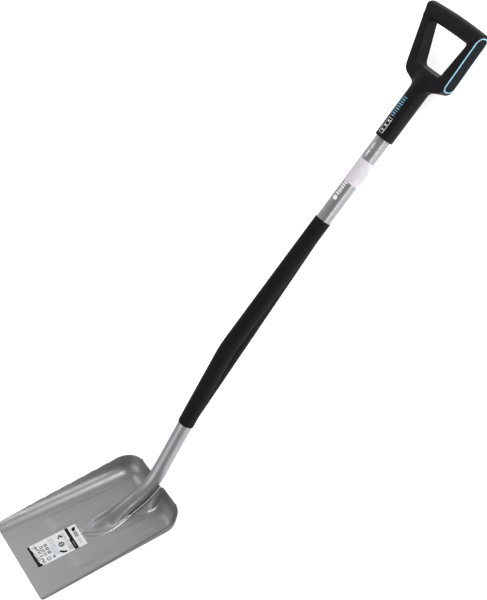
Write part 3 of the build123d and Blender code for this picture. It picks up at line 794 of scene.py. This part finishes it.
def surface_net(low, high, step):
    """Quads over the zero surface of grip_field, one point in each cell that it crosses."""
    axes = [np.arange(a, b + step, step) for a, b in zip(low, high)]
    shape = tuple(len(a) for a in axes)
    lattice = np.stack(np.meshgrid(*axes, indexing="ij"), axis=-1).reshape(-1, 3)
    field = grip_field(lattice).reshape(shape)
    inside = field < 0
    corners = list(product((0, 1), repeat=3))
    views = [inside[tuple(slice(c, s - 1 + c) for c, s in zip(corner, shape))] for corner in corners]
    total = np.sum(views, axis=0)
    active = (total > 0) & (total < 8)
    index = np.full(active.shape, -1)
    index[active] = np.arange(active.sum())
    cells = np.argwhere(active)
    sums, counts = np.zeros((len(cells), 3)), np.zeros(len(cells))
    for a, b in product(corners, corners):
        if sum(b) - sum(a) != 1 or any(q < p for p, q in zip(a, b)):
            continue
        start, end = cells + a, cells + b
        f, g = field[tuple(start.T)], field[tuple(end.T)]
        crossed = (f < 0) != (g < 0)
        share = (f / np.where(crossed, f - g, 1))[:, None]
        sums[crossed] += (start + share * (end - start))[crossed]
        counts[crossed] += 1
    points = np.array(low) + step * sums / counts[:, None]
    return points, net_quads(inside, index)


def net_quads(inside, index):
    """Quads that join the four cells round each lattice edge that crosses the surface."""
    quads = []
    for axis in range(3):
        first, second = [k for k in range(3) if k != axis]
        change = inside != np.roll(inside, -1, axis=axis)
        change[tuple(-1 if k == axis else slice(None) for k in range(3))] = False
        places = np.argwhere(change)
        places = places[(places[:, first] > 0) & (places[:, second] > 0)]
        u, v = np.eye(3, dtype=int)[first], np.eye(3, dtype=int)[second]
        ring = [places - u - v, places - v, places, places - u]
        quads.append(np.stack([index[tuple(p.T)] for p in ring], axis=1))
    return np.concatenate(quads).tolist()


def make_grip():
    low, high = (-82.0, -142.0, -32.0), (82.0, 128.0, 66.0)
    points, quads = surface_net(low, high, 1.6)
    for _ in range(4):
        points = points - grip_field(points)[:, None] * gradient(points) * 0.9
    return grip_point(points), quads


def on_side(side, plan, height):
    """Points at (across, along) of one arm's outer face, lifted off the grip's surface."""
    run, out = BAR_HEIGHT + BAR_RADIUS + LOOP_LOW, LOOP_HALF_TOP - LOOP_HALF_ROOT
    length = hypot(run, out)
    share = (TRIM_CENTRE + LOOP_LOW) / run
    centre = np.array([side * (LOOP_HALF_ROOT + share * out), TRIM_CENTRE, 0])
    along = np.array([side * out / length, run / length, 0])
    outward = np.array([side * run / length, -out / length, 0])
    flat = plan.reshape(-1, 2)
    points = centre + flat[:, 1:] * along + (flat[:, :1] + TRIM_OFFSET) * (0, 0, 1) + outward * 12
    for _ in range(50):
        points = points - grip_field(points)[:, None] * outward * 0.8
    lifted = points + gradient(points) * np.broadcast_to(height, plan.shape[:-1]).reshape(-1, 1)
    return grip_point(lifted).reshape(*plan.shape[:-1], 3)


def make_trim(side):
    """Coloured line let into the arm: a crowned, closed band."""
    width, length = TRIM_WIDTH - TRIM_BAND, TRIM_LENGTH - TRIM_BAND
    route = rounded_box(width, length, width / 2 - 0.6, steps=14)
    route = np.concatenate([np.linspace(a, b, 12, endpoint=False) if np.linalg.norm(b - a) > 10 else [a]
                            for a, b in zip(route, np.roll(route, -1, axis=0))])
    ahead = np.roll(route, -1, axis=0) - np.roll(route, 1, axis=0)
    ahead /= np.linalg.norm(ahead, axis=1, keepdims=True)
    across = np.stack([ahead[:, 1], -ahead[:, 0]], axis=1)
    reach = np.array([1.0, 1.0, 0.75, 0.3, -0.3, -0.75, -1.0, -1.0])
    lift = np.array([-1.2, 0.15, 0.42, 0.55, 0.55, 0.42, 0.15, -1.2])
    plan = route[:, None] + across[:, None] * (reach * TRIM_BAND / 2)[:, None]
    return hoop(on_side(side, plan, lift))


def make_side_panel(side):
    """Soft pad inside the line, slightly crowned, with shallow finger ribs."""
    width, length = TRIM_WIDTH - 2 * TRIM_BAND - 0.2, TRIM_LENGTH - 2 * TRIM_BAND - 0.2
    radius = width / 2
    rows = (length / 2) * np.sin(np.linspace(-pi / 2, pi / 2, 71))
    past = np.maximum(np.abs(rows) - (length / 2 - radius), 0)
    half = np.maximum(np.sqrt(np.maximum(radius ** 2 - past ** 2, 0)), 0.35)
    shares = np.sin(np.linspace(-pi / 2, pi / 2, 15))
    plan = np.stack(np.broadcast_arrays(half[:, None] * shares, rows[:, None]), axis=-1)
    edge = np.minimum(half[:, None] * (1 - np.abs(shares)), length / 2 - np.abs(rows)[:, None])
    ribs = 0.12 * np.sin(rows * 2 * pi / 5.2)[:, None] * smoothstep(edge, 1.0, 3.0)
    height = 0.05 + 0.4 * smoothstep(edge, 0.0, 2.5) + ribs
    return slab(on_side(side, plan, height), on_side(side, plan, -1.0))


# ---- printed pieces ----

def on_label(flat, height):
    """Maps (distance from the left edge, from the front end) of the blade's label."""
    heights = np.full(len(flat), CLEARANCE + height)
    return np.column_stack([flat + (-LABEL_WIDTH / 2, LABEL_START), heights])


def bar(x, y, width, height, radius):
    return rounded_box(width, height, min(radius, width / 2 - 0.01, height / 2 - 0.01), 2) + (x, y)


def ragged_strip():
    """Torn-looking black strip along the label's front end, as convex tiles side by side."""
    draw = np.random.default_rng(11)
    tiles, x = [], 0.3
    while x < LABEL_WIDTH - 3.2:
        width = draw.uniform(1.6, 3.4)
        reach = 6.0 + 6.5 * x / LABEL_WIDTH
        near, far = draw.uniform(0.55, 1.0, 2) * reach
        tiles.append([(x, 0.3), (x + width + 0.1, 0.3), (x + width + 0.1, far), (x, near)])
        x += width
    tiles.append([(x, 0.3), (LABEL_WIDTH - 0.3, 0.3), (LABEL_WIDTH - 0.3, 11.5), (x, 10.0)])
    for _ in range(26):
        spot = draw.uniform([6, 8], [LABEL_WIDTH - 4, 17])
        tiles.append(disc(draw.uniform(0.4, 1.2), 7) + spot)
    return tiles


def text_rows(x, y, width, rows, pitch, thickness, seed):
    """Rows of short dashes that stand for small print."""
    draw = np.random.default_rng(seed)
    dashes = []
    for row in range(rows):
        place = x
        while place < x + width - 1.5:
            length = min(draw.uniform(1.2, 4.2), x + width - place)
            dashes.append(bar(place + length / 2, y + row * pitch, length, thickness, 0.2))
            place += length + 0.8
    return dashes


def turned_rows(x, y, length, rows, pitch, thickness, seed):
    """The same, running along the label."""
    return [outline[:, ::-1] for outline in text_rows(y, x, length, rows, pitch, thickness, seed)]


def label_print():
    """Outlines of the blade label's print: {paint: [outlines]}."""
    columns = [15.0 + 9.6 * k for k in range(3)]
    black = ragged_strip()
    black += [bar(15.0, 85.4, 29.4, 6.6, 0.5), bar(42.5, 84.2, 28.4, 8.8, 0.5)]
    black += [disc(4.0, 6) + (9.4, 98.0), bar(13.0, 97.0, 3.0, 6.6, 0.6), bar(6.6, 101.0, 3.0, 4.4, 0.6)]
    black += text_rows(16.4, 95.4, 15.0, 2, 3.6, 2.6, 3)
    black += [bar(13.0, 69.6, 4.0, 5.0, 1.2), bar(9.6, 67.0, 4.0, 4.6, 1.2)]
    black += [bar(13.4, 63.4, 5.4, 2.6, 1.0), bar(45.2, 54.2, 4.4, 5.6, 1.4)]
    black += [bar(48.4, 57.4, 5.0, 5.4, 1.4), bar(50.2, 62.0, 4.2, 6.4, 1.4)]
    grey = [disc(6.6, 20) + (30.4, 62.0)]
    grey += text_rows(36.0, 96.0, 14.0, 2, 3.2, 1.1, 5)
    for x in columns:
        grey += [bar(x, 25.0, 6.6, 6.6, 1.2), bar(x, 34.0, 7.2, 6.4, 1.0)]
    spots = np.random.default_rng(8).uniform([4, 13], [54, 21], (24, 2))
    grey += [disc(1.5, 8) + spot for spot in spots]
    grey += [disc(4.6, 16) + (48.0, 27.0), disc(3.0, 12) + (49.0, 38.0)]
    grey += turned_rows(43.0, 72.0, 9.0, 5, 2.2, 0.8, 9)
    grey += text_rows(5.0, 71.0, 48.0, 4, 2.3, 0.7, 31) + text_rows(4.0, 44.0, 18.0, 4, 2.6, 0.7, 37)
    pale = text_rows(25.0, 40.0, 24.0, 5, 2.6, 1.3, 13) + turned_rows(23.0, 40.0, 14.0, 2, 3.0, 1.2, 17)
    white = [bar(36.0 + 3.2 * k, 84.2, 1.0, 1.6, 0.3) for k in range(5)]
    white += [bar(30.4, 62.0, 1.0, 9.4, 0.4), disc(2.6, 12) + (48.0, 27.0)]
    white += [disc(1.7, 12) + (x, 25.0) for x in columns]
    white += [bar(x, 34.0, 4.4, 0.9, 0.3) for x in columns]
    return {"black": black, "grey": grey, "pale_blue": pale, "white": white}


LABEL_PAINTS = ("white", "black", "grey", "pale_blue")
PRINT_LIFT = {"black": 0.06, "grey": 0.05, "pale_blue": 0.05, "white": 0.10}
PRINT_SUNK = 0.03           # how far print reaches into the film under it


def make_blade_label():
    edge = rounded_box(LABEL_WIDTH, LABEL_LENGTH, 1.5) + (LABEL_WIDTH / 2, LABEL_LENGTH / 2)
    parts = [(*prism(edge, on_label, 0.0, FILM), 0)]
    for name, outlines in label_print().items():
        low, high, paint = FILM - PRINT_SUNK, FILM + PRINT_LIFT[name], LABEL_PAINTS.index(name)
        parts += [(*prism(outline, on_label, low, high), paint) for outline in outlines]
    return parts


def wrapped(radius, middle):
    """Map from (along the upper shaft, round it in mm) to a cylinder about the shaft."""
    def place(flat, height):
        out = around(radians(middle) + flat[..., 1] / radius, X_DIR, front_of(UPPER_RISE))
        return KINK + flat[..., :1] * rise(UPPER_RISE) + (radius + height) * out
    return place


def wrapped_patch(place, along, across, layer, paint=0):
    """Curved slab over the stations given each way; layer is its lowest and highest height."""
    flat = np.stack(np.broadcast_arrays(along[:, None], across), axis=-1)
    return (*slab(place(flat, layer[1]), place(flat, layer[0])), paint)


def wrapped_bar(place, spot, size, layer, paint=0):
    """Bar on the shaft, fine enough to follow it."""
    along = spot[0] + size[0] * np.linspace(-0.5, 0.5, 3)
    across = spot[1] + size[1] * np.linspace(-0.5, 0.5, max(3, int(size[1] / 1.2)))
    return wrapped_patch(place, along, across, layer, paint)


def wrapped_disc(place, spot, radius, layer):
    """Round mark on the shaft, made of strips across it."""
    turns = np.linspace(-pi / 2, pi / 2, 15)
    half = np.maximum(radius * np.cos(turns), 0.05)
    across = spot[1] + half[:, None] * np.linspace(-1, 1, 9)
    return wrapped_patch(place, spot[0] + radius * np.sin(turns), across, layer)


def make_tube_label():
    """Paper wrap on the upper tube, with a perforated edge and faint print."""
    place = wrapped(TUBE_RADIUS, TUBE_LABEL_TURN)
    reach = TUBE_RADIUS * radians(TUBE_LABEL_SWEEP)
    start, end = TUBE_LABEL
    middle, top = (start + end) / 2, CLEARANCE + FILM
    low = top - PRINT_SUNK
    along = middle + (end - start) * np.linspace(-0.5, 0.5, 9)
    parts = [wrapped_patch(place, along, reach * np.linspace(-0.5, 0.5, 57), (CLEARANCE, top))]
    for k in range(17):
        spot = (start + 1.8 + 3.0 * k, reach / 2 - 0.7)
        parts.append(wrapped_bar(place, spot, (1.5, 0.7), (low, top + 0.05), 1))
    draw = np.random.default_rng(21)
    x = start + 7
    while x < end - 16:
        width = draw.uniform(0.5, 1.6)
        parts.append(wrapped_bar(place, (x, -reach / 2 + 10), (width, 11), (low, top + 0.04), 1))
        x += width + draw.uniform(0.7, 1.6)
    for k in range(5):
        size = (draw.uniform(20, 38), 0.35)
        parts.append(wrapped_bar(place, (middle, 3.0 - 3.0 * k), size, (low, top + 0.03), 2))
    return parts


def make_tube_marks():
    """White print along the upper tube: a round mark, a row of plain bars and a row of dashes."""
    place, layer = wrapped(TUBE_RADIUS, TUBE_MARK_TURN), (-0.1, 0.09)
    parts = [wrapped_disc(place, (360.0, -0.4), 4.6, layer)]
    along = 367.0
    draw = np.random.default_rng(5)
    while along < TUBE_LABEL[0] - 2:
        length = draw.uniform(3.0, 4.6)
        spot = (along + length / 2, draw.uniform(-0.5, 0.5))
        parts.append(wrapped_bar(place, spot, (length * 0.7, draw.uniform(6.8, 8.8)), layer))
        along += length + 0.9
    for k in range(7):
        spot = (456.5 + 4.3 * k, -0.4 + 0.5 * (k % 2))
        parts.append(wrapped_bar(place, spot, (3.0, 2.4 + 0.8 * (k % 3)), layer))
    return parts


def make_socket_frame():
    """White frame with three plain signs, on the socket."""
    place, layer = wrapped(SOCKET_RADIUS, SOCKET_MARK_TURN), (-0.1, 0.1)
    length, width, line = SOCKET_FRAME
    ends = [wrapped_bar(place, (FRAME_START + line / 2 + end, 0), (line, width), layer)
            for end in (0, length - line)]
    middle = FRAME_START + length / 2
    edges = [wrapped_bar(place, (middle, edge * (width - line) / 2), (length, line), layer)
             for edge in (-1, 1)]
    signs = []
    for k, corners in enumerate((4, 18, 6)):
        x = FRAME_START + 6.4 + 9.6 * k
        signs.append((*prism(disc(2.1, corners) + (x, 0.3), place, *layer), 0))
        signs.append(wrapped_bar(place, (x, -3.2), (4.4, 0.7), layer))
    return ends + edges + signs


def make_socket_bars():
    """Row of light blue bars on the socket, after the frame."""
    place, layer = wrapped(SOCKET_RADIUS, SOCKET_MARK_TURN), (-0.1, 0.1)
    start = FRAME_START + SOCKET_FRAME[0]
    bars = []
    for k in range(9):
        size = (1.5 + 0.7 * (k % 2), (9.6, 7.4, 9.6)[k % 3])
        bars.append(wrapped_bar(place, (start + 5.5 + 4.9 * k, 0.6), size, layer))
    return bars + [wrapped_bar(place, (start + 25.0, 6.8), (42.0, 0.7), layer)]


# ---- the pieces ----

def build_pieces():
    piece("pressed_blade", [make_blade()], BLADE_PAINTS, ["blade"])
    shaft = [(*make_shaft(), 0), (*make_flange(), 0)]
    piece("cranked_tube", shaft, ["tube"], ["shaft_tube"])
    for side, name in ((-1, "left"), (1, "right")):
        piece(f"weld_beads_{name}", make_weld(side), ["weld"], [f"weld_{name}"])
        piece(f"trim_line_{name}", [(*make_trim(side), 0)], ["trim"],
              [f"grip_trim_{name}"])
        piece(f"soft_pad_{name}", [(*make_side_panel(side), 0)], ["panel"],
              [f"grip_side_panel_{name}"])
    piece("crank_sleeve", [(*make_sleeve(), 0)], ["sleeve"], ["shaft_sleeve"])
    piece("d_grip", [(*make_grip(), 0)], ["grip"], ["grip_body"], smooth=70)
    piece("blade_sticker", make_blade_label(), LABEL_PAINTS, ["blade_label"])
    piece("tube_wrap", make_tube_label(), ["tube_film", "grey", "pale_blue"],
          ["tube_label"])
    piece("tube_print", make_tube_marks(), ["mark_white"])
    piece("socket_print_white", make_socket_frame(), ["mark_white"])
    piece("socket_print_blue", make_socket_bars(), ["mark_blue"])
    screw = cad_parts["grip_screw"]
    screw.data.materials.clear()
    screw.data.materials.append(PAINT["screw"])


# ---- floor, light and camera ----

CAMERA_AIM = Vector(to_frame((0.0, 537.1, 419.7)))
CAMERA_DISTANCE = 2.533
CAMERA_AZIMUTH, CAMERA_ELEVATION, CAMERA_ROLL = 112.66, 45.87, -73.07
CAMERA_LENS = 81.0
TO_VIEWER = (0.64, 0.27, 0.72)          # roughly the way from the tool to the camera


def make_floor():
    bpy.ops.mesh.primitive_grid_add(x_subdivisions=8, y_subdivisions=8, size=14.0)
    floor = bpy.context.object
    floor.name = "studio_floor"
    material, tree = new_material("pale_floor")
    tone = mixed(tree, noise(tree, 3.0, 4.0), (0.90,) * 3, (0.93,) * 3)
    inputs = {"Base Color": tone, "Roughness": 0.9, "Specular IOR Level": 0.1,
              "Emission Color": (1, 1, 1, 1), "Emission Strength": 0.75}
    floor.data.materials.append(dressed(material, inputs))


def make_world():
    """Soft surroundings with a darker patch on the viewer's side, as in a white tent."""
    world = bpy.data.worlds.new("studio")
    bpy.context.scene.world = world
    world.use_nodes = True
    tree = world.node_tree
    place = added(tree, "TexCoord", {}).outputs["Generated"]
    facing = added(tree, "VectorMath", {0: place, 1: TO_VIEWER})
    facing.operation = "DOT_PRODUCT"
    colour = mixed(tree, facing.outputs["Value"], (1.0, 1.0, 1.0), (0.38, 0.38, 0.39), 0.15, 0.95)
    fill(tree, tree.nodes["Background"], {"Color": colour, "Strength": 0.66})


def soft_box(name, place, aim, size, power):
    light = bpy.data.lights.new(name, "AREA")
    light.shape = "RECTANGLE"
    light.size, light.size_y = size
    light.energy = power
    box = linked(name, light)
    box.location = place
    box.rotation_euler = (Vector(aim) - Vector(place)).to_track_quat("-Z", "Y").to_euler()


def make_lights():
    """Soft boxes: name, place, aim, size in metres and power in watts."""
    soft_box("key", (0.95, 2.2, 0.95), (0, -0.4, 0.1), (1.0, 0.65), 38.0)
    soft_box("ridge", (-2.03, 0.76, 1.78), (0, -0.4, 0.1), (1.0, 0.7), 7.0)
    soft_box("edge", (2.3, 0.2, 0.4), (0, -0.5, 0.1), (0.9, 0.5), 10.0)
    soft_box("top", (0.0, -1.8, 3.0), (0, -0.3, 0), (2.4, 2.4), 26.0)


def make_camera():
    azimuth, elevation = radians(CAMERA_AZIMUTH), radians(CAMERA_ELEVATION)
    back = Vector((sin(azimuth) * cos(elevation), -cos(azimuth) * cos(elevation), sin(elevation)))
    data = bpy.data.cameras.new("camera")
    data.lens = CAMERA_LENS
    camera = linked("camera", data)
    roll = Matrix.Rotation(radians(CAMERA_ROLL), 4, "Z")
    look = (-back).to_track_quat("-Z", "Y").to_matrix().to_4x4()
    camera.matrix_world = Matrix.Translation(CAMERA_AIM + back * CAMERA_DISTANCE) @ look @ roll
    bpy.context.scene.camera = camera


build_pieces()
make_floor()
make_world()
make_lights()
make_camera()
bpy.context.scene.view_settings.view_transform = "Standard"
